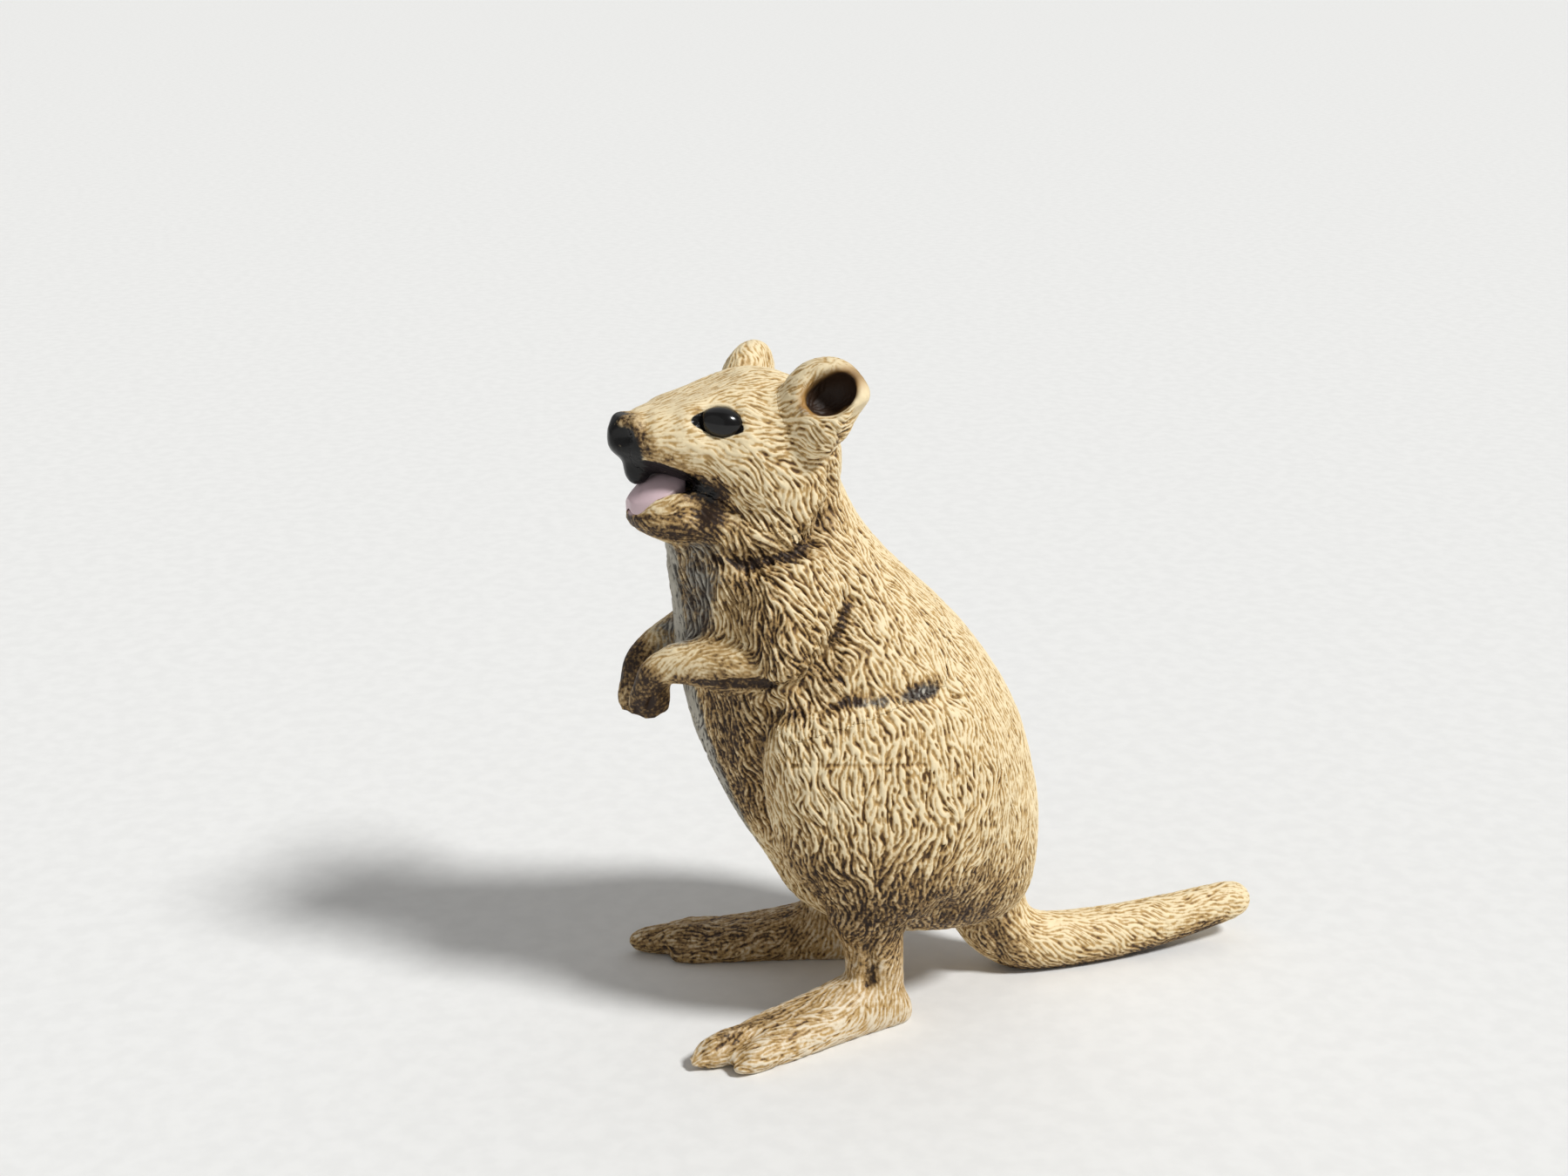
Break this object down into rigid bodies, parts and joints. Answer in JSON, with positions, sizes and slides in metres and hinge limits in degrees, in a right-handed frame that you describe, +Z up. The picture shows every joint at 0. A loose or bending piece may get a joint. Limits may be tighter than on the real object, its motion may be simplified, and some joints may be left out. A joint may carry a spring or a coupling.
{
  "type": "quokka figurine",
  "caption": "Painted figurine of a quokka sitting up on its hind feet and tail, with its mouth open, round cupped ears and forepaws held to the chest.",
  "frame": {"origin": "on the ground, under the middle of the figurine's box", "axes": "+Z up; the animal looks along -Y and its tail runs back along +Y; its left side is +X"},
  "size_m": [0.0258, 0.0544, 0.0527],
  "materials": {
    "painted_fur": "moulded vinyl with sculpted fur, painted sandy tan over a dark brown wash",
    "painted_skin": "moulded vinyl with fine wrinkles, painted tan over a dark brown wash",
    "gloss_black": "gloss black paint",
    "mouth_pink": "satin pale pink paint"
  },
  "bodies": {
    "root": {"torso": "painted_fur", "head": "painted_fur", "lower_jaw": "painted_fur", "tongue": "mouth_pink", "nose": "gloss_black", "left_eye": "gloss_black", "right_eye": "gloss_black", "left_ear": "painted_fur", "right_ear": "painted_fur", "left_foreleg": "painted_fur", "right_foreleg": "painted_fur", "left_hind_leg": "painted_skin", "right_hind_leg": "painted_skin", "tail": "painted_fur"}
  },
  "joints": []
}
